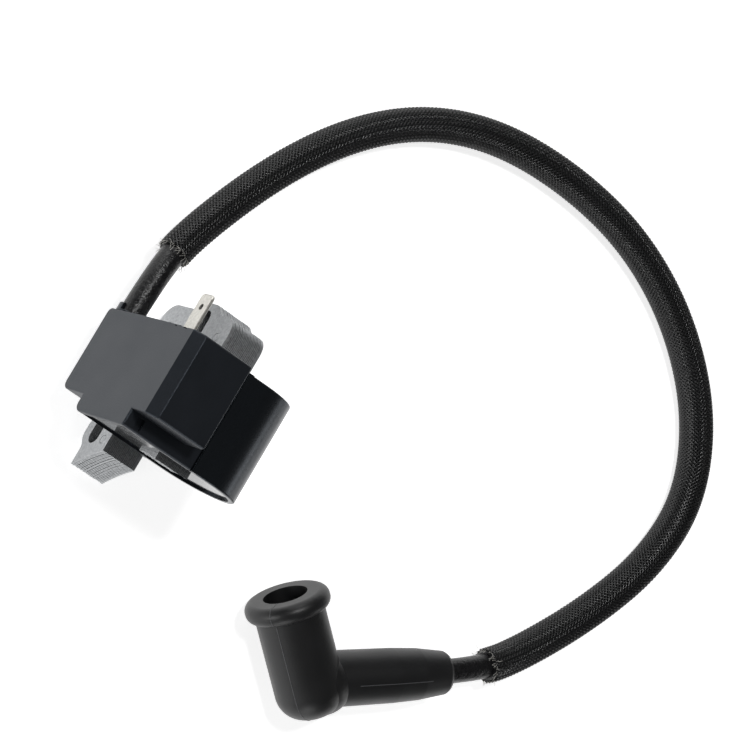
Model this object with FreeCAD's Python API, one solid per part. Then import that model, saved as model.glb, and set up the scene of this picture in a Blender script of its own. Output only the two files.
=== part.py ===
import FreeCAD, Part
import math
import os

V = FreeCAD.Vector

# Ignition coil module with its high-tension lead and spark plug boot. Millimetres.
# +X runs along the core's legs towards the flywheel, +Y along the stack of laminations towards the
# engine, +Z across the legs. The module lies on the edge of its foot leg, with the lead beside it.
# Module pieces are drawn from the housing's front corner, and DATUM carries them into the frame,
# whose origin is below the middle of the module. Lead and boot are drawn in the frame itself.
DATUM = V(-12.3, -22.3, 12.8)

# laminated core
LEG_OUT, LEG_IN = -8.4, 1.9        # foot leg, across Z
FOOT_OUT = -10.2                   # foot leg below its ear
COIL_LEG_LOW, COIL_LEG_HIGH = 19.8, 29.8
YOKE_TOP, YOKE_BOTTOM = -11.4, -0.6
STACK_FRONT, STACK_BACK = 18.6, 29.6
END_PLATE = 0.65
POLE_RADIUS, POLE_X, POLE_Z = 54.0, 83.3, 20.0
LEG_REACH = 40.0                   # legs are cut from this length by the pole radius
SLOT_WIDTH, SLOT_LENGTH = 5.0, 9.6
FOOT_SLOT = (26.8, -6.8)           # X, Z of the slot's centre
YOKE_SLOT = (-7.2, 13.4)
RIVET_RADIUS = 1.3
RIVETS = ((-5.3, 24.4), (29.6, -1.3), (-5.0, -2.4))

# moulded housing and coil case
WALL = 1.6
BOX_LENGTH, BOX_DEPTH, BOX_WIDTH = 24.4, 18.4, 51.0    # X, Y, Z
BEVEL = 2.8
EDGE_ROUND = 0.5
CASE_LENGTH = 29.2
CASE_LOW, CASE_HIGH = 12.6, 41.0
COLLAR_DEPTH = 23.5
CASE_RADIUS = (CASE_HIGH - CASE_LOW) / 2
CASE_CENTRE = (CASE_HIGH + CASE_LOW) / 2
ROUND_START = 30.4                 # Y where the flat sides turn into the round back
LIP_WIDTH, LIP_PROUD = 1.6, 0.6
RESIN_DROP = 0.6                   # resin surface below the rim

# lead, sleeve and boot
LEAD_RADIUS, WIRE_RADIUS = 3.5, 1.2
SLEEVE_BORE, SLEEVE_RADIUS = 3.8, 4.7
EXIT_Y, EXIT_Z = 4.3, 4.4          # lead axis on the housing's top face
WIRE_INSET = 4.0                   # spike's length inside the lead
BOOT_HEIGHT = 11.9
MOUTH = V(24.78, 67.06, BOOT_HEIGHT)
ELBOW = V(40.8, 86.5, BOOT_HEIGHT)
BOOT_END = V(18.3, 123.3, BOOT_HEIGHT)
LIP_RADIUS, LIP_LENGTH = 11.85, 5.3
LIP_ROUND, CAP_ROUND = 2.4, 7.5
HEEL_RADIUS, HEEL_OFFSET = 9.0, (3.6, 1.0)    # ball that fills the elbow, along the arm and the body
BODY_RADIUS, BODY_OVERRUN = 9.7, 10.3
PLUG_BORE, PLUG_DEPTH = 6.2, 14.0
CHAMBER_RADIUS, CHAMBER_DEPTH = 5.2, 26.0
PIN_RADIUS = 0.9

# Lead route: from inside the housing, down to the surface, round the loop and into the boot.
ROUTE = [
    V(-6.3, -18.0, 17.2), V(-24.5, -18.0, 17.2), V(-40.0, -13.5, 13.3), V(-69.5, 1.5, 8.0),
    V(-91.5, 18.0, 5.0), V(-106.5, 36.5, 4.8), V(-115.0, 59.5, 4.8), V(-117.0, 87.5, 4.8),
    V(-113.5, 113.5, 4.8), V(-103.0, 138.0, 4.8), V(-85.5, 159.0, 4.8), V(-64.0, 170.5, 4.8),
    V(-42.0, 169.5, 4.8), V(-20.0, 160.0, 4.8), V(2.0, 145.0, 6.3), V(13.35, 131.396, 11.9),
    V(25.725, 111.156, 11.9),
]
LEAD_IN_BOOT = (BOOT_END - ROUTE[-1]).Length
SLEEVE_START = 0.5                 # share of the second run that is bare
SLEEVE_END = 0.46                  # share of the last open run that is bare


def box(x, y, z):
    """A block between pairs of limits."""
    return Part.makeBox(x[1] - x[0], y[1] - y[0], z[1] - z[0], V(x[0], y[0], z[0]))


def rod(start, end, radius):
    """A cylinder between two points."""
    return Part.makeCylinder(radius, (end - start).Length, start, end - start)


def rounded_wire(corners, closed=True):
    """A wire of straight runs joined by tangent arcs. Each corner is (point, arc radius)."""
    count = len(corners)
    tangents = []
    for i, (point, radius) in enumerate(corners):
        if radius == 0 or (not closed and i in (0, count - 1)):
            tangents.append((point, None, point))
            continue
        back = (corners[i - 1][0] - point).normalize()
        ahead = (corners[(i + 1) % count][0] - point).normalize()
        half = back.getAngle(ahead) / 2
        reach = radius / math.tan(half)
        middle = point + (back + ahead).normalize() * (radius / math.sin(half) - radius)
        tangents.append((point + back * reach, middle, point + ahead * reach))
    edges = []
    for i, (start, middle, end) in enumerate(tangents):
        if middle:
            edges.append(Part.Arc(start, middle, end).toShape())
        follower = tangents[(i + 1) % count][0]
        if (closed or i < count - 1) and (follower - end).Length > 1e-6:
            edges.append(Part.LineSegment(end, follower).toShape())
    return Part.Wire(edges)


def plate(outline, y):
    """An outline of (x, z, corner radius) made solid between two Y limits."""
    corners = [(V(px, y[0], pz), radius) for px, pz, radius in outline]
    return Part.Face(rounded_wire(corners)).extrude(V(0, y[1] - y[0], 0))


def slot_cutter(centre):
    """A mounting slot through the core, along X."""
    reach = (SLOT_LENGTH - SLOT_WIDTH) / 2
    x, z = centre
    r = SLOT_WIDTH / 2
    y = (STACK_FRONT - 1, STACK_BACK + 1)
    ends = [rod(V(x + s * reach, y[0], z), V(x + s * reach, y[1], z), r) for s in (-1, 1)]
    return box((x - reach, x + reach), y, (z - r, z + r)).fuse(ends)


def core_layer(y):
    """The lamination outline between two Y limits: a yoke, two legs, two eared slots."""
    outline = [
        (YOKE_TOP, LEG_OUT, 5.5), (YOKE_TOP, 6.2, 3.0), (-14.0, 9.4, 3.0), (-14.0, 16.8, 3.5),
        (YOKE_TOP, 21.2, 3.0), (YOKE_TOP, COIL_LEG_HIGH, 4.6), (LEG_REACH, COIL_LEG_HIGH, 0),
        (LEG_REACH, COIL_LEG_LOW, 0), (YOKE_BOTTOM, COIL_LEG_LOW, 1.0), (YOKE_BOTTOM, LEG_IN, 1.0),
        (LEG_REACH, LEG_IN, 0), (LEG_REACH, FOOT_OUT, 0), (33.0, FOOT_OUT, 3.0),
        (30.4, -12.8, 3.2), (25.2, -12.8, 3.2), (22.6, LEG_OUT, 3.0),
    ]
    layer = plate(outline, y)
    holes = [slot_cutter(FOOT_SLOT), slot_cutter(YOKE_SLOT)]
    holes += [rod(V(x, y[0] - 1, z), V(x, y[1] + 1, z), RIVET_RADIUS) for x, z in RIVETS]
    holes.append(rod(V(POLE_X, y[0] - 1, POLE_Z), V(POLE_X, y[1] + 1, POLE_Z), POLE_RADIUS))
    return layer.cut(holes)


def core_rivets():
    """Flush rivets that hold the laminations together."""
    pins = []
    for x, z in RIVETS:
        pin = rod(V(x, STACK_FRONT, z), V(x, STACK_BACK, z), RIVET_RADIUS)
        pins.append(pin.makeChamfer(0.2, [e for e in pin.Edges if e.Closed]))
    return Part.makeCompound(pins)


def leg_opening():
    """The hole that lets the coil leg through the top walls."""
    gap = 0.3
    y = (STACK_FRONT - gap, STACK_BACK + gap)
    return box((-1, WALL + 1), y, (COIL_LEG_LOW - gap, COIL_LEG_HIGH + gap))


def housing_outer():
    """Electronics box with a bevelled edge, and the collar below it."""
    shell = plate([(0, 0, 1.6), (BOX_LENGTH, 0, 2.2), (BOX_LENGTH, BOX_WIDTH, 1.0),
                   (0, BOX_WIDTH, 0.8)], (0, BOX_DEPTH))
    bevel = Part.Face(Part.makePolygon([
        V(-1, -1, BOX_WIDTH - BEVEL - 1), V(-1, BEVEL + 1, BOX_WIDTH + 1),
        V(-1, -1, BOX_WIDTH + 1), V(-1, -1, BOX_WIDTH - BEVEL - 1)])).extrude(V(BOX_LENGTH + 2, 0, 0))
    collar = plate([(0, CASE_LOW, 0), (CASE_LENGTH, CASE_LOW, 2.4),
                    (CASE_LENGTH, CASE_HIGH, 0.8), (0, CASE_HIGH, 0)], (0, COLLAR_DEPTH))
    shell = shell.cut(bevel)
    sharp = [e for e in shell.Edges if e.CenterOfMass.z > BOX_WIDTH - 0.01
             or (abs(e.CenterOfMass.y) < 0.01 and e.CenterOfMass.z < BOX_WIDTH - BEVEL - 0.1)]
    shell = shell.makeFillet(EDGE_ROUND, sharp)
    rim = [e for e in collar.Edges if abs(e.CenterOfMass.y) < 0.01 and e.CenterOfMass.x > BOX_LENGTH
           or (abs(e.CenterOfMass.y - COLLAR_DEPTH) < 0.01 and e.CenterOfMass.x > CASE_LENGTH - 0.01)]
    collar = collar.makeFillet(EDGE_ROUND, rim)
    return shell.fuse(collar).removeSplitter()


def housing_cavity():
    """The hollow behind the housing's walls, open at the pole end and towards the coil case."""
    inside = box((WALL, BOX_LENGTH - WALL), (WALL, BOX_DEPTH - WALL), (WALL, BOX_WIDTH - WALL - 1.2))
    trunk = box((WALL, CASE_LENGTH + 1), (WALL, COLLAR_DEPTH + 1),
                (CASE_LOW + WALL, CASE_HIGH - WALL))
    return inside.fuse(trunk)


def lead_hole():
    """The lead's passage through the top wall."""
    return rod(V(-3, EXIT_Y, EXIT_Z), V(6, EXIT_Y, EXIT_Z), LEAD_RADIUS)


def front_housing():
    """Moulded shell over the electronics and the front of the coil."""
    shell = housing_outer()
    edge_notches = [box((-1, 0.5), (-1, 0.7), (38.1, 38.9)), box((-1, 0.5), (-1, 0.7), (42.8, 44.6))]
    gate = box((25.1, 28.3), (3.0, 5.2), (CASE_HIGH - 0.8, CASE_HIGH + 1))
    blade_gap = box((-1, WALL + 1), (4.6, 5.4), (33.0, 39.3))
    return shell.cut([housing_cavity(), leg_opening(), lead_hole(), blade_gap, gate] + edge_notches)


def d_outline(radius, low_y):
    """D-shaped section in Y and Z: flat sides and a round back."""
    z0, z1 = CASE_CENTRE - radius, CASE_CENTRE + radius
    top = V(0, ROUND_START + radius, CASE_CENTRE)
    return Part.Face(Part.Wire([
        Part.LineSegment(V(0, low_y, z0), V(0, ROUND_START, z0)).toShape(),
        Part.Arc(V(0, ROUND_START, z0), top, V(0, ROUND_START, z1)).toShape(),
        Part.LineSegment(V(0, ROUND_START, z1), V(0, low_y, z1)).toShape(),
        Part.LineSegment(V(0, low_y, z1), V(0, low_y, z0)).toShape()]))


def case_cavity():
    """The hollow of the coil case."""
    section = d_outline(CASE_RADIUS - WALL, COLLAR_DEPTH)
    section.translate(V(WALL, 0, 0))
    return section.extrude(V(CASE_LENGTH, 0, 0))


def coil_case():
    """D-shaped cup behind the housing, with a raised lip where the two meet."""
    cup = d_outline(CASE_RADIUS, COLLAR_DEPTH).extrude(V(CASE_LENGTH, 0, 0))
    ends = [e for e in cup.Edges if e.CenterOfMass.y > COLLAR_DEPTH + 0.01
            and (e.CenterOfMass.x < 0.01 or e.CenterOfMass.x > CASE_LENGTH - 0.01)]
    cup = cup.makeFillet(EDGE_ROUND, ends)
    lip = box((0, CASE_LENGTH), (COLLAR_DEPTH + 0.15, COLLAR_DEPTH + LIP_WIDTH),
              (CASE_LOW - LIP_PROUD, CASE_HIGH + LIP_PROUD))
    return cup.fuse(lip).cut([case_cavity(), leg_opening()]).removeSplitter()


def ring(x, inner, outer):
    """A rectangular sleeve round the coil leg. inner and outer are margins from the leg."""
    def block(margin):
        return box(x, (STACK_FRONT - margin, STACK_BACK + margin),
                   (COIL_LEG_LOW - margin, COIL_LEG_HIGH + margin))
    return block(outer).cut(block(inner))


def primary_bobbin():
    """Inner bobbin with a flange at each end."""
    tube = ring((2.2, 27.6), 0.15, 0.9)
    return tube.fuse([ring((2.2, 3.2), 0.15, 2.4), ring((26.6, 27.6), 0.15, 2.4)]).removeSplitter()


def primary_winding():
    """Copper winding between the inner bobbin's flanges."""
    return ring((3.2, 26.6), 0.9, 2.1)


SECTION_PITCH = 3.6
SECTION_COUNT = 6
SECTION_START = 4.0
RIB = 0.8


def secondary_bobbin():
    """Outer bobbin, ribbed into sections that keep the high voltage apart."""
    end = SECTION_START + SECTION_PITCH * SECTION_COUNT
    tube = ring((SECTION_START, end), 2.3, 3.0)
    starts = [SECTION_START + i * SECTION_PITCH for i in range(SECTION_COUNT)] + [end - RIB]
    ribs = [ring((start, start + RIB), 2.3, 4.8) for start in starts]
    return tube.fuse(ribs).removeSplitter()


def secondary_winding():
    """One block of fine wire in each section of the outer bobbin."""
    blocks = []
    for i in range(SECTION_COUNT):
        start = SECTION_START + i * SECTION_PITCH + RIB
        end = SECTION_START + (i + 1) * SECTION_PITCH
        if i == SECTION_COUNT - 1:
            end -= RIB
        blocks.append(ring((start, end), 3.0, 4.5))
    return Part.makeCompound(blocks)


BOARD_FRONT, BOARD_BACK = 8.6, 10.2


def circuit_board():
    """Board that stands behind the housing's front face."""
    return plate([(1.7, 13.0, 0.5), (21.4, 13.0, 0.5), (21.4, 47.0, 0.5), (1.7, 47.0, 0.5)],
                 (BOARD_FRONT, BOARD_BACK))


def power_transistor():
    """Flat power transistor with a mounting hole in its tab."""
    body = box((6.0, 17.0), (5.2, BOARD_FRONT), (15.0, 23.0))
    return body.cut(rod(V(14.6, 0, 19.0), V(14.6, BOARD_FRONT, 19.0), 1.6))


def trigger_transistor():
    """Small half-round transistor."""
    middle = V(8.0, 5.6, 28.0)
    body = rod(middle, middle + V(4.6, 0, 0), 2.4)
    return body.common(box((0, 20), (3.2, 7.0), (20, 40))).fuse(
        box((9.5, 11.0), (7.0, BOARD_FRONT), (27.2, 28.8)))


def board_resistors():
    """Two axial resistors."""
    return Part.makeCompound([
        rod(V(6.0, BOARD_FRONT - 1.1, z), V(12.4, BOARD_FRONT - 1.1, z), 1.1) for z in (41.0, 44.6)])


def board_diode():
    """Axial diode."""
    return rod(V(15.0, BOARD_FRONT - 1.3, 33.0), V(20.0, BOARD_FRONT - 1.3, 33.0), 1.3)


def board_capacitor():
    """Film capacitor block."""
    block = box((13.4, 20.6), (5.0, BOARD_FRONT), (38.4, 45.0))
    return block.makeFillet(0.5, [e for e in block.Edges if abs(e.tangentAt(e.FirstParameter).y) > 0.9])


def winding_tails():
    """Wires from the inner bobbin's flange to the board."""
    y = (BOARD_BACK, STACK_FRONT - 2.4)
    return Part.makeCompound([rod(V(2.8, y[0], z), V(2.8, y[1], z), 0.35) for z in (20.8, 28.8)])


def earth_strap():
    """Strip that joins the board to the core."""
    return box((1.7, 2.1), (BOARD_BACK, STACK_FRONT), (22.4, 27.2))


def stop_terminal():
    """Push-on blade for the stop switch wire, with a tail that reaches the board."""
    blade = plate([(-11.4, 33.0, 1.3), (3.5, 33.0, 0), (3.5, 39.3, 0), (-11.4, 39.3, 1.3)], (4.6, 5.4))
    tip = [e for e in blade.Edges if abs(e.CenterOfMass.x + 11.4) < 0.05
           and abs(e.tangentAt(e.FirstParameter).z) > 0.9]
    blade = blade.makeChamfer(0.25, tip)
    blade = blade.cut(rod(V(-7.6, 4, 36.15), V(-7.6, 6, 36.15), 0.9))
    tail = box((3.5, 5.0), (4.6, BOARD_FRONT), (35.0, 37.3))
    return blade.fuse(tail).removeSplitter()


def lead_spike():
    """Brass spike that pierces the lead's wire, with its head against the lead's end."""
    end = WIRE_INSET + 2.0
    cone = Part.makeCone(0.1, WIRE_RADIUS, 1.8, V(end - WIRE_INSET, EXIT_Y, EXIT_Z), V(1, 0, 0))
    shank = rod(V(end - WIRE_INSET + 1.8, EXIT_Y, EXIT_Z), V(end, EXIT_Y, EXIT_Z), WIRE_RADIUS)
    head = rod(V(end, EXIT_Y, EXIT_Z), V(end + 1.0, EXIT_Y, EXIT_Z), 2.6)
    return shank.fuse([cone, head]).removeSplitter()


def secondary_link():
    """Wire from the outer bobbin to the lead's spike."""
    wire = rod(V(6.8, 5.9, 6.0), V(4.4, 13.8, 15.0), 0.4)
    return wire.cut([lead_spike(), secondary_bobbin(), circuit_board()]).Solids[0]


def lead_collar():
    """Moulded lip round the lead's exit, tall on the outer side and low on the inner side."""
    def tube(height):
        outer = rod(V(-height, EXIT_Y, EXIT_Z), V(0, EXIT_Y, EXIT_Z), 4.2)
        return outer.makeChamfer(0.3, [e for e in outer.Edges if e.Closed and e.CenterOfMass.x < -0.1])
    tall = tube(2.4).common(box((-5, 1), (-5, 10), (-5, EXIT_Z + 1.0)))
    return tall.fuse(tube(0.7)).cut(lead_hole()).removeSplitter()


def potting_resin(inner_pieces):
    """Epoxy that fills the housing and the coil case round everything in them."""
    fill = housing_cavity().fuse(case_cavity())
    fill = fill.common(box((0, CASE_LENGTH - RESIN_DROP), (0, 60), (0, 60)))
    return fill.removeSplitter().cut(inner_pieces)


def route_radii(points):
    """Bend radius at each inner point of a route: 0.45 of the shorter run over tan(half turn)."""
    radii = [0]
    for before, point, after in zip(points, points[1:], points[2:]):
        turn = (point - before).getAngle(after - point)
        run = min((point - before).Length, (after - point).Length)
        radii.append(0.45 * run / math.tan(turn / 2))
    return radii + [0]


def sweep(points, radii, radius):
    """A round bar along a route."""
    path = rounded_wire(list(zip(points, radii)), closed=False)
    circle = Part.Wire(Part.makeCircle(radius, points[0], points[1] - points[0]))
    return path.makePipeShell([circle], True, False), path.Length


def lead_insulation(radii):
    """Rubber lead with a bore for its wire."""
    outer, length = sweep(ROUTE, radii, LEAD_RADIUS)
    bore, _ = sweep(ROUTE, radii, WIRE_RADIUS)
    return outer.cut(bore), length


def lead_conductor(radii):
    """Stranded wire in the lead, from the spike to the pin in the boot."""
    wire, length = sweep(ROUTE, radii, WIRE_RADIUS)
    spike_end = DATUM + V(WIRE_INSET - 2.0, EXIT_Y, EXIT_Z)
    return wire.cut(rod(spike_end, spike_end + V(10, 0, 0), 2 * WIRE_RADIUS)), length - WIRE_INSET


def braided_sleeve(radii):
    """Braided tube over the open part of the lead."""
    start = ROUTE[1] + (ROUTE[2] - ROUTE[1]) * SLEEVE_START
    end = ROUTE[-3] + (ROUTE[-2] - ROUTE[-3]) * (1 - SLEEVE_END)
    points = [start] + ROUTE[2:-2] + [end]
    bends = [0] + radii[2:-2] + [0]
    outer, length = sweep(points, bends, SLEEVE_RADIUS)
    bore, _ = sweep(points, bends, SLEEVE_BORE)
    return outer.cut(bore), length


PLUG_AXIS = (ELBOW - MOUTH).normalize()
LEAD_AXIS = (BOOT_END - ELBOW).normalize()


def turned(profile, origin, axis):
    """A solid turned from (distance along the axis, radius) points."""
    side = axis.cross(V(0, 0, 1)).normalize()
    points = [origin + axis * along + side * radius for along, radius in profile]
    points = [origin + axis * profile[0][0]] + points + [origin + axis * profile[-1][0]]
    return Part.Face(Part.makePolygon(points + [points[0]])).revolve(origin, axis, 360)


def boot_outer():
    """Elbow with a thick lip at the mouth, a full heel and a tapered arm for the lead."""
    lip = rod(MOUTH, MOUTH + PLUG_AXIS * LIP_LENGTH, LIP_RADIUS)
    lip = lip.makeFillet(LIP_ROUND, [e for e in lip.Edges if e.Closed])
    reach = (ELBOW - MOUTH).Length + BODY_OVERRUN
    body = rod(MOUTH + PLUG_AXIS * 2, MOUTH + PLUG_AXIS * reach, BODY_RADIUS)
    cap = [e for e in body.Edges if e.Closed
           and (e.CenterOfMass - (MOUTH + PLUG_AXIS * reach)).Length < 0.1]
    body = body.makeFillet(CAP_ROUND, cap)
    length = (BOOT_END - ELBOW).Length
    arm = turned([(0, 7.9), (26.0, 7.6), (34.0, 7.2), (length - 0.8, 6.1), (length, 5.6)],
                 ELBOW, LEAD_AXIS)
    heel = Part.makeSphere(HEEL_RADIUS, ELBOW + LEAD_AXIS * HEEL_OFFSET[0] + PLUG_AXIS * HEEL_OFFSET[1])
    return body.fuse([lip, arm, heel]).removeSplitter()


def spark_plug_boot():
    """Rubber boot with its plug bore, its spring chamber and the lead's passage."""
    length = (BOOT_END - ELBOW).Length
    bore = rod(MOUTH - PLUG_AXIS, MOUTH + PLUG_AXIS * PLUG_DEPTH, PLUG_BORE)
    chamber = rod(MOUTH + PLUG_AXIS * PLUG_DEPTH, MOUTH + PLUG_AXIS * CHAMBER_DEPTH, CHAMBER_RADIUS)
    lead_bore = rod(BOOT_END + LEAD_AXIS, BOOT_END - LEAD_AXIS * LEAD_IN_BOOT, LEAD_RADIUS)
    mouth_recess = rod(BOOT_END + LEAD_AXIS, BOOT_END - LEAD_AXIS * 1.8, 4.7)
    pin_bore = rod(BOOT_END - LEAD_AXIS * LEAD_IN_BOOT, BOOT_END - LEAD_AXIS * (length - 1.0), PIN_RADIUS)
    return boot_outer().cut([bore, chamber, lead_bore, mouth_recess, pin_bore])


SPRING_WIRE, SPRING_RADIUS, SPRING_PITCH = 0.5, 3.2, 2.0


def plug_spring():
    """Contact spring at the bottom of the boot's chamber."""
    base_depth = CHAMBER_DEPTH - 1.7
    height = base_depth - PLUG_DEPTH - SPRING_WIRE - 0.2
    helix = Part.makeHelix(SPRING_PITCH, height, SPRING_RADIUS)
    start = V(SPRING_RADIUS, 0, 0)
    circle = Part.Wire(Part.makeCircle(SPRING_WIRE, start, V(0, 1, 0)))
    spring = Part.Wire(helix.Edges).makePipeShell([circle], True, True)
    turn = FreeCAD.Rotation(V(0, 0, 1), -PLUG_AXIS)
    base = MOUTH + PLUG_AXIS * base_depth
    spring.Placement = FreeCAD.Placement(base, turn)
    return spring


def spring_pin():
    """Pin from the lead's wire to the foot of the contact spring."""
    length = (BOOT_END - ELBOW).Length
    start = BOOT_END - LEAD_AXIS * LEAD_IN_BOOT
    return rod(start, BOOT_END - LEAD_AXIS * (length - 1.0), PIN_RADIUS)


def build():
    """All nodes, by name."""
    module = {
        "core_front_plate": core_layer((STACK_FRONT, STACK_FRONT + END_PLATE)),
        "core_stack": core_layer((STACK_FRONT + END_PLATE, STACK_BACK - END_PLATE)),
        "core_back_plate": core_layer((STACK_BACK - END_PLATE, STACK_BACK)),
        "core_rivets": core_rivets(),
        "front_housing": front_housing(),
        "coil_case": coil_case(),
        "lead_collar": lead_collar(),
        "primary_bobbin": primary_bobbin(),
        "primary_winding": primary_winding(),
        "secondary_bobbin": secondary_bobbin(),
        "secondary_winding": secondary_winding(),
        "circuit_board": circuit_board(),
        "power_transistor": power_transistor(),
        "trigger_transistor": trigger_transistor(),
        "board_resistors": board_resistors(),
        "board_diode": board_diode(),
        "board_capacitor": board_capacitor(),
        "winding_tails": winding_tails(),
        "earth_strap": earth_strap(),
        "stop_terminal": stop_terminal(),
        "lead_spike": lead_spike(),
        "secondary_link": secondary_link(),
    }
    inside = [name for name in module if name not in ("front_housing", "coil_case", "lead_collar")]
    inner_pieces = [module[name] for name in inside] + [lead_hole()]
    module["potting_resin"] = potting_resin(inner_pieces)
    for shape in module.values():
        shape.translate(DATUM)

    radii = route_radii(ROUTE)
    print("bend radii:", [round(radius) for radius in radii[1:-1]])
    insulation, length = lead_insulation(radii)
    conductor, wire_length = lead_conductor(radii)
    sleeve, sleeve_length = braided_sleeve(radii)
    ring_area = math.pi * (LEAD_RADIUS ** 2 - WIRE_RADIUS ** 2)
    sleeve_area = math.pi * (SLEEVE_RADIUS ** 2 - SLEEVE_BORE ** 2)
    print("lead", round(length, 1), "volume ratio", round(insulation.Volume / (ring_area * length), 4))
    print("wire", round(wire_length, 1), "volume ratio",
          round(conductor.Volume / (math.pi * WIRE_RADIUS ** 2 * wire_length), 4))
    print("sleeve", round(sleeve_length, 1), "volume ratio",
          round(sleeve.Volume / (sleeve_area * sleeve_length), 4))
    lead = {
        "lead_insulation": insulation,
        "lead_conductor": conductor,
        "braided_sleeve": sleeve,
        "spark_plug_boot": spark_plug_boot(),
        "plug_spring": plug_spring(),
        "spring_pin": spring_pin(),
    }
    return {**module, **lead}


os.makedirs("parts", exist_ok=True)
for node, shape in build().items():
    print(node, "solids", len(shape.Solids), "volume", round(shape.Volume, 1), "valid", shape.isValid())
    shape.exportStep("parts/" + node + ".step")
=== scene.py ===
import bpy
import bmesh
import math
from mathutils import Matrix, Vector


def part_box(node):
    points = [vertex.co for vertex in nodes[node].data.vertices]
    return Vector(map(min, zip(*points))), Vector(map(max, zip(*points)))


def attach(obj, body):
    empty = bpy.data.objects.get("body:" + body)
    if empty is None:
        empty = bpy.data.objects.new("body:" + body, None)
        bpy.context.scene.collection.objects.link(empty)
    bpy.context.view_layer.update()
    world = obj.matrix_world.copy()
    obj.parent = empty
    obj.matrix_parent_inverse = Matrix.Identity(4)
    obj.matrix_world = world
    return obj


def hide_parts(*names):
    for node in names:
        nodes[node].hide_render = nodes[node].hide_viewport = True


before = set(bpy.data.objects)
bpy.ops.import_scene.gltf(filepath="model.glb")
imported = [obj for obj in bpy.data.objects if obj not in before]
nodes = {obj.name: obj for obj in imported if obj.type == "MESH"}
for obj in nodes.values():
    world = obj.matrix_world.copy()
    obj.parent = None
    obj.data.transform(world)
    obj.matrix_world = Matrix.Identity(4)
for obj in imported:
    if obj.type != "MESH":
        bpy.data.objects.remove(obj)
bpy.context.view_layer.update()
scene = bpy.context.scene
print("frame loaded,", len(nodes), "nodes")


# small helpers

def toLinear(hexColour):  # an sRGB hex colour as linear values
    parts = [int(hexColour[i:i + 2], 16) / 255 for i in (1, 3, 5)]
    return (*[p / 12.92 if p <= 0.04045 else ((p + 0.055) / 1.055) ** 2.4 for p in parts], 1)


def addNode(tree, kind, given=None):  # entries are inputs or properties: sockets are linked, the rest are set
    node = tree.nodes.new(kind)
    for key, value in (given or {}).items():
        if isinstance(value, bpy.types.NodeSocket):
            tree.links.new(value, node.inputs[key])
        elif isinstance(key, int) or key in node.inputs:
            node.inputs[key].default_value = value
        else:
            setattr(node, key, value)
    return node


def perMm(size):  # the scale of a pattern on Object coordinates, from its real size in mm
    return 1000 / size


def addObject(name, data):
    piece = bpy.data.objects.new(name, data)
    scene.collection.objects.link(piece)
    return piece


def paint(piece, material):  # one finish all over
    piece.data.materials.clear()
    piece.data.materials.append(material)


def newTree(name, inputs):  # a Geometry Nodes tree with named inputs
    tree = bpy.data.node_groups.new(name, "GeometryNodeTree")
    tree.interface.new_socket("Geometry", in_out="INPUT", socket_type="NodeSocketGeometry")
    for label, kind in inputs.items():
        tree.interface.new_socket(label, in_out="INPUT", socket_type="NodeSocket" + kind)
    tree.interface.new_socket("Geometry", in_out="OUTPUT", socket_type="NodeSocketGeometry")
    return tree, addNode(tree, "NodeGroupInput").outputs


def endTree(tree, geometry, material):  # every tree ends with plain geometry and its material
    real = addNode(tree, "GeometryNodeRealizeInstances", {"Geometry": geometry})
    done = addNode(tree, "GeometryNodeSetMaterial", {"Geometry": real.outputs[0], "Material": material})
    addNode(tree, "NodeGroupOutput", {"Geometry": done.outputs[0]})


def bakeTree(name, mesh, tree, values):  # runs a tree on a mesh and keeps the result as a plain mesh
    source = addObject(name + "Source", mesh)
    modifier = source.modifiers.new("tree", "NODES")
    modifier.node_group = tree
    for item in tree.interface.items_tree:
        if item.in_out == "INPUT" and item.name in values:
            modifier[item.identifier] = values[item.name]
    depsgraph = bpy.context.evaluated_depsgraph_get()
    result = bpy.data.meshes.new_from_object(source.evaluated_get(depsgraph), depsgraph=depsgraph)
    bpy.data.objects.remove(source)
    result.name = name
    return addObject(name, result)


# camera

cameraSettings = {
    "lens": 192.8,                          # mm, on a 36 mm sensor
    "place": (0.1347, -0.4695, 0.9466),     # metres
    "right": (-0.4993, 0.7122, 0.4934),
    "up": (-0.8516, -0.5082, -0.1283),
    "back": (0.1594, -0.4843, 0.8603),
}


def makeCamera():
    data = bpy.data.cameras.new("camera")
    data.lens = cameraSettings["lens"]
    data.sensor_width = 36
    data.clip_start, data.clip_end = 0.05, 50
    camera = addObject("camera", data)
    turn = Matrix([cameraSettings[k] for k in ("right", "up", "back")]).transposed()
    camera.rotation_mode = "QUATERNION"
    camera.rotation_quaternion = turn.to_quaternion()
    camera.location = cameraSettings["place"]
    scene.camera = camera


makeCamera()
print("camera placed")


# finishes

def newMaterial(name):
    material = bpy.data.materials.new(name)
    material.use_nodes = True
    tree = material.node_tree
    tree.nodes.clear()
    shader = addNode(tree, "ShaderNodeBsdfPrincipled")
    addNode(tree, "ShaderNodeOutputMaterial", {"Surface": shader.outputs[0]})
    place = addNode(tree, "ShaderNodeTexCoord").outputs["Object"]
    return material, tree, shader, place


def finishSurface(tree, shader, tone, colours, rough, relief, depthMm):
    # one pattern's tone moves the colour and the roughness between two values, another's relief is the bump
    blend = addNode(tree, "ShaderNodeMix", {
        "data_type": "RGBA", 0: tone, 6: toLinear(colours[0]), 7: toLinear(colours[1])})
    spread = addNode(tree, "ShaderNodeMapRange", {"Value": tone, "To Min": rough[0], "To Max": rough[1]})
    bump = addNode(tree, "ShaderNodeBump", {"Height": relief, "Distance": depthMm / 1000})
    tree.links.new(blend.outputs[2], shader.inputs["Base Color"])
    tree.links.new(spread.outputs[0], shader.inputs["Roughness"])
    tree.links.new(bump.outputs[0], shader.inputs["Normal"])


coolSheen = "#d3e0f0"                       # black nylon's highlights lean slightly blue

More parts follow.
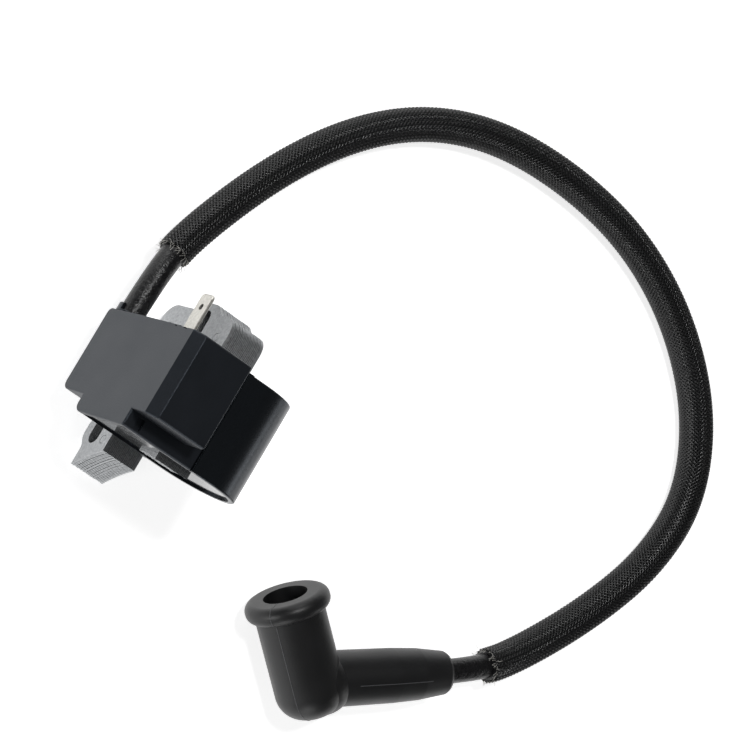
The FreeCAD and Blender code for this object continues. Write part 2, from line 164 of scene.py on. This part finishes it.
mouldedNylonSettings = {
    "colours": ("#08090b", "#0e0f13"),
    "rough": (0.4, 0.5),
    "grain": 0.45, "grainDepth": 0.03,      # mm, spark-eroded texture
    "patch": 9.0,                           # mm, flow marks
}


def mouldedNylon():  # glass-filled nylon from a spark-eroded mould: black, with a soft even haze
    s = mouldedNylonSettings
    material, tree, shader, place = newMaterial("mouldedNylon")
    grain = addNode(tree, "ShaderNodeTexNoise", {
        "Vector": place, "Scale": perMm(s["grain"]), "Detail": 3.0})
    patch = addNode(tree, "ShaderNodeTexNoise", {
        "Vector": place, "Scale": perMm(s["patch"]), "Detail": 4.0})
    finishSurface(tree, shader, patch.outputs[0], s["colours"], s["rough"], grain.outputs[0], s["grainDepth"])
    shader.inputs["IOR"].default_value = 1.53
    shader.inputs["Specular Tint"].default_value = toLinear(coolSheen)
    return material


satinNylonSettings = {
    "colours": ("#050607", "#0a0c0e"),
    "rough": (0.24, 0.34),
    "ripple": 14.0, "rippleDepth": 0.05,    # mm
    "speck": 0.5,                           # mm
}


def satinNylon():  # the coil case's unfilled nylon: black and nearly glossy, with a faint moulding ripple
    s = satinNylonSettings
    material, tree, shader, place = newMaterial("satinNylon")
    ripple = addNode(tree, "ShaderNodeTexNoise", {
        "Vector": place, "Scale": perMm(s["ripple"]), "Detail": 2.0})
    speck = addNode(tree, "ShaderNodeTexNoise", {
        "Vector": place, "Scale": perMm(s["speck"]), "Detail": 2.0})
    finishSurface(tree, shader, speck.outputs[0], s["colours"], s["rough"],
                  ripple.outputs[0], s["rippleDepth"])
    shader.inputs["IOR"].default_value = 1.53
    shader.inputs["Specular Tint"].default_value = toLinear(coolSheen)
    return material


castEpoxySettings = {
    "colours": ("#07080a", "#101216"),
    "rough": (0.06, 0.14),
    "wave": 11.0, "waveDepth": 0.12,        # mm, the pour's slow waves
}


def castEpoxy():  # poured epoxy: black and glossy, with the slow waves of a poured surface
    s = castEpoxySettings
    material, tree, shader, place = newMaterial("castEpoxy")
    wave = addNode(tree, "ShaderNodeTexNoise", {"Vector": place, "Scale": perMm(s["wave"]), "Detail": 1.5})
    finishSurface(tree, shader, wave.outputs[0], s["colours"], s["rough"], wave.outputs[0], s["waveDepth"])
    shader.inputs["IOR"].default_value = 1.55
    return material


electricalSteelSettings = {
    "colours": ("#74767a", "#d0d2d3"),
    "rough": (0.36, 0.62),
    "mottle": 0.7,                          # mm, the oxide's mottling
    "across": 0.35, "along": 0.9,           # mm, the rolling marks
    "depth": 0.02,                          # mm
}


def electricalSteel():  # punched silicon steel: grey and dull, with an oxide mottle and rolling marks
    s = electricalSteelSettings
    material, tree, shader, place = newMaterial("electricalSteel")
    mottle = addNode(tree, "ShaderNodeTexNoise", {
        "Vector": place, "Scale": perMm(s["mottle"]), "Detail": 5.0, "Roughness": 0.6})
    stretch = addNode(tree, "ShaderNodeMapping", {
        "Vector": place, "Scale": (perMm(s["along"]), perMm(s["across"]), perMm(s["across"]))})
    marks = addNode(tree, "ShaderNodeTexNoise", {"Vector": stretch.outputs[0], "Scale": 1.0, "Detail": 3.0})
    finishSurface(tree, shader, mottle.outputs[0], s["colours"], s["rough"], marks.outputs[0], s["depth"])
    shader.inputs["Metallic"].default_value = 1.0
    return material


tinnedSteelSettings = {
    "colours": ("#9c9a94", "#dedcd5"),
    "rough": (0.28, 0.5),
    "mottle": 0.8, "depth": 0.01,           # mm
}


def tinnedSteel():  # tin-plated strip: silver-white, with a mottled soft shine
    s = tinnedSteelSettings
    material, tree, shader, place = newMaterial("tinnedSteel")
    mottle = addNode(tree, "ShaderNodeTexNoise", {
        "Vector": place, "Scale": perMm(s["mottle"]), "Detail": 4.0})
    finishSurface(tree, shader, mottle.outputs[0], s["colours"], s["rough"],
                  mottle.outputs[0], s["depth"])
    shader.inputs["Metallic"].default_value = 1.0
    return material


leadRubberSettings = {
    "colours": ("#060607", "#111113"),
    "rough": (0.16, 0.42),
    "streak": 1.0, "streakDepth": 0.22,     # mm, the extruded skin's unevenness
}


def leadRubber():  # extruded silicone: black, glossy, a little uneven so its highlight breaks into specks
    s = leadRubberSettings
    material, tree, shader, place = newMaterial("leadRubber")
    streak = addNode(tree, "ShaderNodeTexNoise", {
        "Vector": place, "Scale": perMm(s["streak"]), "Detail": 4.0, "Roughness": 0.6})
    finishSurface(tree, shader, streak.outputs[0], s["colours"], s["rough"],
                  streak.outputs[0], s["streakDepth"])
    shader.inputs["IOR"].default_value = 1.45
    return material


bootRubberSettings = {
    "colours": ("#060607", "#0c0d0f"),
    "flashColours": ("#3a3b3d", "#5c5d5f"),  # painted highlight: the parting lines' ridges are painted paler than the rubber, standing in for the light that they catch
    "rough": (0.36, 0.5),
    "grain": 0.6, "grainDepth": 0.02,       # mm
    "patch": 7.0,                           # mm, the bloom's patches
}


def bootRubber(name, colours):  # moulded EPDM: black satin, with a faint bloom and a fine grain; with the paler tones it paints the parting lines' highlight
    s = bootRubberSettings
    material, tree, shader, place = newMaterial(name)
    grain = addNode(tree, "ShaderNodeTexNoise", {
        "Vector": place, "Scale": perMm(s["grain"]), "Detail": 3.0})
    patch = addNode(tree, "ShaderNodeTexNoise", {
        "Vector": place, "Scale": perMm(s["patch"]), "Detail": 4.0})
    finishSurface(tree, shader, patch.outputs[0], colours, s["rough"], grain.outputs[0], s["grainDepth"])
    return material


braidYarnSettings = {
    "colours": ("#040405", "#0c0d0e"),
    # painted highlight: the loose fibres at the cut ends are painted near-white, standing in for light
    # glinting on the black yarn
    "frayPaintedGlintColours": ("#8f8d88", "#d8d6d0"),
    "rough": (0.22, 0.4),
    "filament": 0.35,                       # mm, coarser than the real filaments so that they show
    "depth": 0.03,                          # mm
}


def polyesterYarn(name, colours):  # polyester filament yarn: small bright glints along the filaments; with the near-white tones it paints the loose fibres' glint
    s = braidYarnSettings
    material, tree, shader, place = newMaterial(name)
    threads = addNode(tree, "ShaderNodeTexNoise", {
        "Vector": place, "Scale": perMm(s["filament"]), "Detail": 2.0})
    finishSurface(tree, shader, threads.outputs[0], colours, s["rough"], threads.outputs[0], s["depth"])
    shader.inputs["IOR"].default_value = 1.55
    return material


innerFinishes = {  # name: dark, light, metallic, roughness, pattern size in mm
    "enamelledCopper": ("#7a3a14", "#b8642c", 1.0, (0.25, 0.4), 0.4),
    "naturalNylon": ("#cfc9b8", "#e4dfd0", 0.0, (0.45, 0.6), 2.0),
    "boardLaminate": ("#1d5a34", "#2c7646", 0.0, (0.3, 0.5), 0.8),
    "componentEpoxy": ("#101113", "#1c1d20", 0.0, (0.5, 0.7), 0.5),
    "resistorLacquer": ("#b89468", "#cfae80", 0.0, (0.25, 0.4), 0.6),
    "capacitorLacquer": ("#8f1d18", "#b02c22", 0.0, (0.2, 0.35), 0.9),
    "tinnedWire": ("#a5a6a8", "#d5d6d7", 1.0, (0.25, 0.4), 0.5),
    "turnedBrass": ("#a8873c", "#cfae5c", 1.0, (0.2, 0.35), 0.3),
    "springSteel": ("#8a8b8d", "#b9babc", 1.0, (0.25, 0.45), 0.4),
}


def innerFinish(name):  # the finishes of the pieces inside, each a plain noise between two tones
    dark, light, metallic, rough, size = innerFinishes[name]
    material, tree, shader, place = newMaterial(name)
    noise = addNode(tree, "ShaderNodeTexNoise", {"Vector": place, "Scale": perMm(size), "Detail": 3.0})
    finishSurface(tree, shader, noise.outputs[0], (dark, light), rough, noise.outputs[0], size / 40)
    shader.inputs["Metallic"].default_value = metallic
    return material


finish = {name: innerFinish(name) for name in innerFinishes}
finish.update(nylon=mouldedNylon(), case=satinNylon(), epoxy=castEpoxy(), steel=electricalSteel(),
              tin=tinnedSteel(), lead=leadRubber(),
              boot=bootRubber("bootRubber", bootRubberSettings["colours"]),
              # the boot rubber in paler tones: a painted highlight for the parting lines
              flash=bootRubber("bootPaintedSeamHighlight", bootRubberSettings["flashColours"]),
              yarn=polyesterYarn("braidYarn", braidYarnSettings["colours"]),
              # the yarn in near-white tones: the loose fibres' painted highlight
              fray=polyesterYarn("frayedYarnPaintedGlint", braidYarnSettings["frayPaintedGlintColours"]))

finishOfNode = {
    "core_front_plate": "steel", "core_stack": "steel", "core_back_plate": "steel", "core_rivets": "steel",
    "front_housing": "nylon", "lead_collar": "case", "coil_case": "case", "potting_resin": "epoxy",
    "primary_bobbin": "naturalNylon", "secondary_bobbin": "naturalNylon",
    "primary_winding": "enamelledCopper", "secondary_winding": "enamelledCopper",
    "winding_tails": "enamelledCopper", "circuit_board": "boardLaminate",
    "power_transistor": "componentEpoxy", "trigger_transistor": "componentEpoxy",
    "board_diode": "componentEpoxy", "board_resistors": "resistorLacquer",
    "board_capacitor": "capacitorLacquer", "earth_strap": "tinnedWire", "secondary_link": "tinnedWire",
    "stop_terminal": "tin", "lead_spike": "turnedBrass", "lead_insulation": "lead",
    "lead_conductor": "enamelledCopper", "braided_sleeve": "yarn", "spark_plug_boot": "boot",
    "plug_spring": "springSteel", "spring_pin": "tinnedWire",
}
for nodeName, finishName in finishOfNode.items():
    paint(nodes[nodeName], finish[finishName])
print("finishes made,", len(finish))


# lead: one NURBS route that the rubber, the wire and the braid all follow

leadSettings = {
    "radius": 0.0035,
    "wireRadius": 0.0012,
    "length": 0.389,
    "exit": (-0.0123, -0.018, 0.0172),      # on the housing's top face
    "route": [
        (-0.0063, -0.0180, 0.0172), (-0.0245, -0.0180, 0.0172), (-0.0400, -0.0135, 0.0133),
        (-0.0695, 0.0015, 0.0080), (-0.0915, 0.0180, 0.0050), (-0.1065, 0.0365, 0.0048),
        (-0.1150, 0.0595, 0.0048), (-0.1170, 0.0875, 0.0048), (-0.1135, 0.1135, 0.0048),
        (-0.1030, 0.1380, 0.0048), (-0.0855, 0.1590, 0.0048), (-0.0640, 0.1705, 0.0048),
        (-0.0420, 0.1695, 0.0048), (-0.0200, 0.1600, 0.0048), (0.0020, 0.1450, 0.0063),
        (0.01335, 0.131396, 0.0119), (0.025725, 0.111156, 0.0119),
    ],
}


def routeCurve(name, radius):  # a round bar along the lead's route
    curve = bpy.data.curves.new(name, "CURVE")
    curve.dimensions = "3D"
    spline = curve.splines.new("NURBS")
    spline.points.add(len(leadSettings["route"]) - 1)
    for point, place in zip(spline.points, leadSettings["route"]):
        point.co = (*place, 1)
    spline.order_u = 3
    spline.use_endpoint_u = True
    spline.resolution_u = 16
    curve.bevel_depth = radius
    curve.bevel_resolution = 7
    curve.use_fill_caps = radius > 0
    return addObject(name, curve)


def routePoints():  # the route's own points, read from its spline
    line = routeCurve("routeLine", 0)
    mesh = bpy.data.meshes.new_from_object(line)
    points = [v.co.copy() for v in mesh.vertices]
    bpy.data.objects.remove(line)
    return points


leadPiece = routeCurve("leadRubber", leadSettings["radius"])
wirePiece = routeCurve("leadWire", leadSettings["wireRadius"])
paint(leadPiece, finish["lead"])
paint(wirePiece, finish["enamelledCopper"])
print("lead laid,", len(leadSettings["route"]), "route points")


# braided sleeve

sleeveSettings = {
    "start": (-0.0337, -0.0159, 0.0150),    # where the sleeve begins and ends along the lead
    "end": (0.0093, 0.1345, 0.0095),
    "radius": (0.0043, 0.0046),             # middle of the yarns, at the start and at the end
    "carriers": 24,                         # yarns each way round
    "turns": 12,
    "yarn": (0.00052, 0.00032),             # half width, half thickness
    "lift": 0.00017,                        # how far a yarn rises over the ones it crosses
}

fraySettings = {
    "count": 60,                            # loose fibres at each cut end
    "length": (0.0006, 0.0024),
    "radius": 0.00006,
    "lean": 1.1,                            # how far the fibres stray from the lead's direction
    "spread": 0.3,                          # how far they open outwards
    "seed": 11,
}


def sleeveLine():  # the stretch of the route that the sleeve covers, as a mesh line
    points = routePoints()
    ends = [min(range(len(points)), key=lambda i: (points[i] - Vector(sleeveSettings[k])).length)
            for k in ("start", "end")]
    covered = points[ends[0]:ends[1] + 1]
    mesh = bpy.data.meshes.new("sleeveLine")
    mesh.from_pydata(covered, [(i, i + 1) for i in range(len(covered) - 1)], [])
    return mesh, covered


def braidTree():  # yarns wind both ways round the line, each over one and under one
    tree, given = newTree("braid", {"Carriers": "Int", "Yarns": "Int", "Crossings": "Int", "Turns": "Float",
                                    "Start Radius": "Float", "End Radius": "Float", "Yarn Width": "Float",
                                    "Yarn Thickness": "Float", "Lift": "Float", "Yarn": "Material"})
    line = addNode(tree, "GeometryNodeMeshToCurve", {"Mesh": given["Geometry"]}).outputs[0]
    samples = addNode(tree, "ShaderNodeMath", {"operation": "ADD", 0: given["Crossings"], 1: 1.0})
    even = addNode(tree, "GeometryNodeResampleCurve", {
        "mode": "COUNT", "Curve": line, "Count": samples.outputs[0]})
    yarns = addNode(tree, "GeometryNodeDuplicateElements", {
        "domain": "SPLINE", "Geometry": even.outputs[0], "Amount": given["Yarns"]})
    along = addNode(tree, "GeometryNodeSplineParameter").outputs["Factor"]
    index = yarns.outputs["Duplicate Index"]
    first = addNode(tree, "ShaderNodeMath", {"operation": "LESS_THAN", 0: index, 1: given["Carriers"]})
    way = addNode(tree, "ShaderNodeMapRange", {"Value": first.outputs[0], "To Min": -1.0, "To Max": 1.0})
    spin = addNode(tree, "ShaderNodeMath", {"operation": "MULTIPLY", 0: along, 1: given["Turns"]})
    wayRound = addNode(tree, "ShaderNodeMath", {
        "operation": "MULTIPLY", 0: spin.outputs[0], 1: way.outputs[0]})
    slot = addNode(tree, "ShaderNodeMath", {"operation": "DIVIDE", 0: index, 1: given["Carriers"]})
    turns = addNode(tree, "ShaderNodeMath", {"operation": "ADD", 0: slot.outputs[0], 1: wayRound.outputs[0]})
    angle = addNode(tree, "ShaderNodeMath", {"operation": "MULTIPLY", 0: turns.outputs[0], 1: math.tau})
    cosine = addNode(tree, "ShaderNodeMath", {"operation": "COSINE", 0: angle.outputs[0]})
    sine = addNode(tree, "ShaderNodeMath", {"operation": "SINE", 0: angle.outputs[0]})
    crossing = addNode(tree, "ShaderNodeMath", {"operation": "MULTIPLY", 0: along, 1: given["Crossings"]})
    phase = addNode(tree, "ShaderNodeMath", {"operation": "MULTIPLY", 0: crossing.outputs[0], 1: math.pi})
    wave = addNode(tree, "ShaderNodeMath", {"operation": "COSINE", 0: phase.outputs[0]})
    over = addNode(tree, "ShaderNodeMath", {"operation": "MULTIPLY", 0: wave.outputs[0], 1: way.outputs[0]})
    middle = addNode(tree, "ShaderNodeMapRange", {
        "Value": along, "To Min": given["Start Radius"], "To Max": given["End Radius"]})
    reach = addNode(tree, "ShaderNodeMath", {
        "operation": "MULTIPLY_ADD", 0: over.outputs[0], 1: given["Lift"], 2: middle.outputs[0]})
    normal = addNode(tree, "GeometryNodeInputNormal").outputs[0]
    tangent = addNode(tree, "GeometryNodeInputTangent").outputs[0]
    side = addNode(tree, "ShaderNodeVectorMath", {"operation": "CROSS_PRODUCT", 0: tangent, 1: normal})
    upPart = addNode(tree, "ShaderNodeVectorMath", {
        "operation": "SCALE", 0: normal, "Scale": cosine.outputs[0]})
    sidePart = addNode(tree, "ShaderNodeVectorMath", {
        "operation": "SCALE", 0: side.outputs[0], "Scale": sine.outputs[0]})
    outward = addNode(tree, "ShaderNodeVectorMath", {
        "operation": "ADD", 0: upPart.outputs[0], 1: sidePart.outputs[0]})
    kept = addNode(tree, "GeometryNodeCaptureAttribute", {"domain": "POINT", "Geometry": yarns.outputs[0]})
    kept.capture_items.new("VECTOR", "Outward")
    tree.links.new(outward.outputs[0], kept.inputs["Outward"])
    offset = addNode(tree, "ShaderNodeVectorMath", {
        "operation": "SCALE", 0: kept.outputs["Outward"], "Scale": reach.outputs[0]})
    wound = addNode(tree, "GeometryNodeSetPosition", {
        "Geometry": kept.outputs["Geometry"], "Offset": offset.outputs[0]})
    framed = addNode(tree, "GeometryNodeSetCurveNormal", {
        "mode": "FREE", "Curve": wound.outputs[0], "Normal": kept.outputs["Outward"]})
    circle = addNode(tree, "GeometryNodeCurvePrimitiveCircle", {"Resolution": 3, "Radius": 1.0})
    shape = addNode(tree, "ShaderNodeCombineXYZ", {
        "X": given["Yarn Thickness"], "Y": given["Yarn Width"], "Z": 1.0})
    section = addNode(tree, "GeometryNodeTransform", {
        "Geometry": circle.outputs[0], "Scale": shape.outputs[0]})
    solid = addNode(tree, "GeometryNodeCurveToMesh", {
        "Curve": framed.outputs[0], "Profile Curve": section.outputs[0], "Fill Caps": True})
    core = addNode(tree, "GeometryNodeResampleCurve", {"mode": "COUNT", "Curve": line, "Count": 160})
    ring = addNode(tree, "GeometryNodeCurvePrimitiveCircle", {"Resolution": 24, "Radius": 1.0})
    inner = addNode(tree, "ShaderNodeMath", {
        "operation": "SUBTRACT", 0: middle.outputs[0], 1: given["Yarn Thickness"]})
    lining = addNode(tree, "GeometryNodeCurveToMesh", {
        "Curve": core.outputs[0], "Profile Curve": ring.outputs[0], "Fill Caps": True,
        "Scale": inner.outputs[0]})
    joined = addNode(tree, "GeometryNodeJoinGeometry", {0: solid.outputs[0]})
    tree.links.new(lining.outputs[0], joined.inputs[0])
    smooth = addNode(tree, "GeometryNodeSetShadeSmooth", {"Geometry": joined.outputs[0]})
    endTree(tree, smooth.outputs[0], given["Yarn"])
    return tree


def makeSleeve():
    s = sleeveSettings
    mesh, covered = sleeveLine()
    sleeve = bakeTree("braidedSleeve", mesh, braidTree(), {
        "Carriers": s["carriers"], "Yarns": 2 * s["carriers"],
        "Crossings": 2 * s["carriers"] * s["turns"],
        "Turns": float(s["turns"]), "Start Radius": s["radius"][0],
        "End Radius": s["radius"][1], "Yarn Width": s["yarn"][0], "Yarn Thickness": s["yarn"][1],
        "Lift": s["lift"], "Yarn": finish["yarn"]})
    return sleeve, covered


wanderMm = 0.8                              # over how long a fibre bends


def frayTree():  # one short bent fibre on each point, pointing roughly the way that the point says
    tree, given = newTree("fray", {"Short": "Float", "Long": "Float", "Radius": "Float", "Lean": "Float",
                                   "Seed": "Int", "Fibre": "Material"})
    line = addNode(tree, "GeometryNodeCurvePrimitiveLine", {"End": (0, 0, 1)})
    fibre = addNode(tree, "GeometryNodeResampleCurve", {
        "mode": "COUNT", "Curve": line.outputs[0], "Count": 5})
    aim = addNode(tree, "GeometryNodeInputNamedAttribute", {"data_type": "FLOAT_VECTOR", "Name": "aim"})
    stray = addNode(tree, "FunctionNodeRandomValue", {
        "data_type": "FLOAT_VECTOR", 0: (-1, -1, -1), 1: (1, 1, 1), "Seed": given["Seed"]})
    lean = addNode(tree, "ShaderNodeVectorMath", {
        "operation": "SCALE", 0: stray.outputs[0], "Scale": given["Lean"]})
    way = addNode(tree, "ShaderNodeVectorMath", {
        "operation": "ADD", 0: aim.outputs[0], 1: lean.outputs[0]})
    turn = addNode(tree, "FunctionNodeAlignRotationToVector", {"axis": "Z", "Vector": way.outputs[0]})
    size = addNode(tree, "FunctionNodeRandomValue", {
        "data_type": "FLOAT", 2: given["Short"], 3: given["Long"], "Seed": given["Seed"]})
    fibres = addNode(tree, "GeometryNodeInstanceOnPoints", {
        "Points": given["Geometry"], "Instance": fibre.outputs[0], "Rotation": turn.outputs[0],
        "Scale": size.outputs[1]})
    loose = addNode(tree, "GeometryNodeRealizeInstances", {"Geometry": fibres.outputs[0]})
    place = addNode(tree, "GeometryNodeInputPosition").outputs[0]
    wander = addNode(tree, "ShaderNodeTexNoise", {"Vector": place, "Scale": perMm(wanderMm), "Detail": 0.0})
    middle = addNode(tree, "ShaderNodeVectorMath", {
        "operation": "SUBTRACT", 0: wander.outputs[1], 1: (0.5, 0.5, 0.5)})
    bend = addNode(tree, "ShaderNodeVectorMath", {
        "operation": "SCALE", 0: middle.outputs[0], "Scale": given["Short"]})
    bent = addNode(tree, "GeometryNodeSetPosition", {
        "Geometry": loose.outputs[0], "Offset": bend.outputs[0]})
    circle = addNode(tree, "GeometryNodeCurvePrimitiveCircle", {"Resolution": 3, "Radius": given["Radius"]})
    solid = addNode(tree, "GeometryNodeCurveToMesh", {
        "Curve": bent.outputs[0], "Profile Curve": circle.outputs[0], "Fill Caps": True})
    endTree(tree, solid.outputs[0], given["Fibre"])
    return tree


def makeFray(covered):
    s = fraySettings
    places, aims = [], []
    for end, inner, radius in ((covered[0], covered[1], sleeveSettings["radius"][0]),
                               (covered[-1], covered[-2], sleeveSettings["radius"][1])):
        ahead = (end - inner).normalized()
        across = ahead.orthogonal().normalized()
        for i in range(s["count"]):
            out = Matrix.Rotation(math.tau * i / s["count"], 3, ahead) @ across
            places.append(end + out * radius)
            aims.append(ahead + out * s["spread"])
    mesh = bpy.data.meshes.new("frayPoints")
    mesh.from_pydata(places, [], [])
    aim = mesh.attributes.new("aim", "FLOAT_VECTOR", "POINT")
    aim.data.foreach_set("vector", [x for a in aims for x in a])
    return bakeTree("sleeveFray", mesh, frayTree(), {
        "Short": s["length"][0], "Long": s["length"][1], "Radius": s["radius"], "Lean": s["lean"],
        # the fibres get the near-white yarn, a painted highlight
        "Seed": s["seed"], "Fibre": finish["fray"]})


sleevePiece, coveredPoints = makeSleeve()
frayPiece = makeFray(coveredPoints)
print("sleeve braided,", len(sleevePiece.data.polygons), "faces")


# boot's parting lines

partingSettings = {
    "radius": 0.00011,
    "chamberEnd": 0.0272,                   # past the plug's chamber, only the outer skin is left
    # a point on the axis, a point further on, degrees up from level, the stretch along it, the bore's radius
    "lines": [
        ((0.02478, 0.06706, 0.0119), (0.0408, 0.0865, 0.0119), 38, (-0.001, 0.036), 0.0066),
        ((0.0408, 0.0865, 0.0119), (0.0183, 0.1233, 0.0119), 84, (0.0125, 0.036), 0.0055),
    ],
}


def partingEdges(start, onward, degrees, stretch, clear):  # where a plane through the axis cuts the skin
    start = Vector(start)
    axis = (Vector(onward) - start).normalized()
    level = axis.cross(Vector((0, 0, 1)))
    outward = Matrix.Rotation(math.radians(degrees), 3, -axis) @ level
    build = bmesh.new()
    build.from_mesh(nodes["spark_plug_boot"].data)
    bmesh.ops.remove_doubles(build, verts=build.verts, dist=1e-6)
    cut = bmesh.ops.bisect_plane(build, geom=build.verts[:] + build.edges[:] + build.faces[:],
                                 plane_co=start, plane_no=axis.cross(outward))["geom_cut"]
    kept = []
    for edge in cut:
        if isinstance(edge, bmesh.types.BMEdge):
            middle = (edge.verts[0].co + edge.verts[1].co) / 2 - start
            along, out = middle.dot(axis), middle.dot(outward)
            if stretch[0] < along < stretch[1] and (
                    out > clear or out > 0 and along > partingSettings["chamberEnd"]):
                kept.append([v.co.copy() for v in edge.verts])
    build.free()
    return kept


def partingTree():  # a thin round ridge along every line
    tree, given = newTree("parting", {"Radius": "Float", "Rubber": "Material"})
    merged = addNode(tree, "GeometryNodeMergeByDistance", {"Geometry": given["Geometry"], "Distance": 1e-6})
    line = addNode(tree, "GeometryNodeMeshToCurve", {"Mesh": merged.outputs[0]})
    circle = addNode(tree, "GeometryNodeCurvePrimitiveCircle", {"Resolution": 6, "Radius": given["Radius"]})
    ridge = addNode(tree, "GeometryNodeCurveToMesh", {
        "Curve": line.outputs[0], "Profile Curve": circle.outputs[0], "Fill Caps": True})
    endTree(tree, ridge.outputs[0], given["Rubber"])
    return tree


def makeParting():
    pairs = [pair for line in partingSettings["lines"] for pair in partingEdges(*line)]
    mesh = bpy.data.meshes.new("partingLines")
    mesh.from_pydata([place for pair in pairs for place in pair],
                     [(2 * i, 2 * i + 1) for i in range(len(pairs))], [])
    return bakeTree("bootParting", mesh, partingTree(), {
        # the ridges wear the paler rubber, a painted highlight along the seams
        "Radius": partingSettings["radius"], "Rubber": finish["flash"]})


partingPiece = makeParting()
print("boot's parting lines made,", len(partingPiece.data.polygons), "faces")


# laminations

coreSettings = {
    "sheets": 20,
    "gap": 0.00014,                         # between neighbouring sheets
    "shift": 0.00006,                       # how far a sheet sits out of line
    "seed": 4,
}


def stackTree():  # thin sheets of one outline, stacked with a hair of play
    tree, given = newTree("laminations", {
        "Sheets": "Int", "Pitch": "Float", "Thickness": "Float", "First": "Float", "Shift": "Float",
        "Seed": "Int", "Steel": "Material"})
    start = addNode(tree, "ShaderNodeCombineXYZ", {"Y": given["First"]})
    step = addNode(tree, "ShaderNodeCombineXYZ", {"Y": given["Pitch"]})
    line = addNode(tree, "GeometryNodeMeshLine", {
        "Count": given["Sheets"], "Start Location": start.outputs[0], "Offset": step.outputs[0]})
    play = addNode(tree, "FunctionNodeRandomValue", {
        "data_type": "FLOAT_VECTOR", 0: (-1, 0, -1), 1: (1, 0, 1), "Seed": given["Seed"]})
    shift = addNode(tree, "ShaderNodeVectorMath", {
        "operation": "SCALE", 0: play.outputs[0], "Scale": given["Shift"]})
    nudged = addNode(tree, "GeometryNodeSetPosition", {
        "Geometry": line.outputs[0], "Offset": shift.outputs[0]})
    size = addNode(tree, "ShaderNodeCombineXYZ", {"X": 1.0, "Y": given["Thickness"], "Z": 1.0})
    sheets = addNode(tree, "GeometryNodeInstanceOnPoints", {
        "Points": nudged.outputs[0], "Instance": given["Geometry"], "Scale": size.outputs[0]})
    endTree(tree, sheets.outputs[0], given["Steel"])
    return tree


def makeLaminations():
    s = coreSettings
    plate = nodes["core_front_plate"].data.copy()
    ys = [v.co.y for v in plate.vertices]
    low, high = min(ys), max(ys)
    for v in plate.vertices:
        v.co.y = (v.co.y - low) / (high - low)
    build = bmesh.new()
    build.from_mesh(plate)
    bmesh.ops.remove_doubles(build, verts=build.verts, dist=1e-7)
    build.to_mesh(plate)
    build.free()
    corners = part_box("core_stack")
    pitch = (corners[1][1] - corners[0][1]) / s["sheets"]
    return bakeTree("coreLaminations", plate, stackTree(), {
        "Sheets": s["sheets"], "Pitch": pitch, "Thickness": pitch - s["gap"],
        "First": corners[0][1] + s["gap"] / 2, "Shift": s["shift"], "Seed": s["seed"],
        "Steel": finish["steel"]})


laminations = makeLaminations()
print("core stacked,", coreSettings["sheets"], "sheets,", len(laminations.data.polygons), "faces")


# what stands for what

for piece, standsFor, slotName in (
        (leadPiece, "lead_insulation", "lead_rubber"), (wirePiece, "lead_conductor", "lead_copper"),
        (sleevePiece, "braided_sleeve", "braid"), (laminations, "core_stack", "core_steel")):
    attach(piece, "root")
    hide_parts(standsFor)

for piece, slotName in ((frayPiece, "braid"), (partingPiece, "boot_rubber")):
    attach(piece, "root")

print("pieces placed")


# floor and light

stageSettings = {
    "floor": "#f4f4f4",
    "glow": 0.75,                           # the floor is a light table, so shadows stay faint
    "background": "#ffffff",
    "ambient": 0.15,
    "boxes": [  # place, size in metres, watts
        ((-0.42, -0.42, 1.45), 0.22, 9),
        ((-1.2, -1.1, 0.5), 0.8, 7),
        ((1.2, -1.1, 0.5), 0.8, 10),
        ((1.5, 0.6, 0.6), 0.8, 6),
        ((-0.1, 1.6, 0.35), 0.3, 1),
    ],
}


def makeStage():
    build = bmesh.new()
    bmesh.ops.create_grid(build, x_segments=1, y_segments=1, size=6)
    mesh = bpy.data.meshes.new("floor")
    build.to_mesh(mesh)
    build.free()
    floor = addObject("floor", mesh)
    material, _, shader, _ = newMaterial("paperFloor")
    shader.inputs["Base Color"].default_value = toLinear(stageSettings["floor"])
    shader.inputs["Roughness"].default_value = 0.9
    shader.inputs["Emission Color"].default_value = toLinear(stageSettings["floor"])
    shader.inputs["Emission Strength"].default_value = stageSettings["glow"]
    paint(floor, material)
    target = Vector((-0.03, 0.07, 0))
    for number, (place, size, watts) in enumerate(stageSettings["boxes"]):
        light = bpy.data.lights.new("softBox%d" % number, "AREA")
        light.shape = "SQUARE"
        light.size = size
        light.energy = watts
        box = addObject("softBox%d" % number, light)
        box.location = place
        box.rotation_mode = "QUATERNION"
        box.rotation_quaternion = (target - Vector(place)).to_track_quat("-Z", "Y")


def makeWorld():  # a dim room that the camera sees as white
    world = bpy.data.worlds.new("room")
    scene.world = world
    world.use_nodes = True
    tree = world.node_tree
    tree.nodes.clear()
    path = addNode(tree, "ShaderNodeLightPath").outputs["Is Camera Ray"]
    dim = addNode(tree, "ShaderNodeBackground", {"Strength": stageSettings["ambient"]})
    pale = addNode(tree, "ShaderNodeBackground", {"Color": toLinear(stageSettings["background"])})
    both = addNode(tree, "ShaderNodeMixShader", {0: path, 1: dim.outputs[0], 2: pale.outputs[0]})
    addNode(tree, "ShaderNodeOutputWorld", {"Surface": both.outputs[0]})


makeStage()
makeWorld()
scene.view_settings.view_transform = "Standard"
print("floor and lights set")
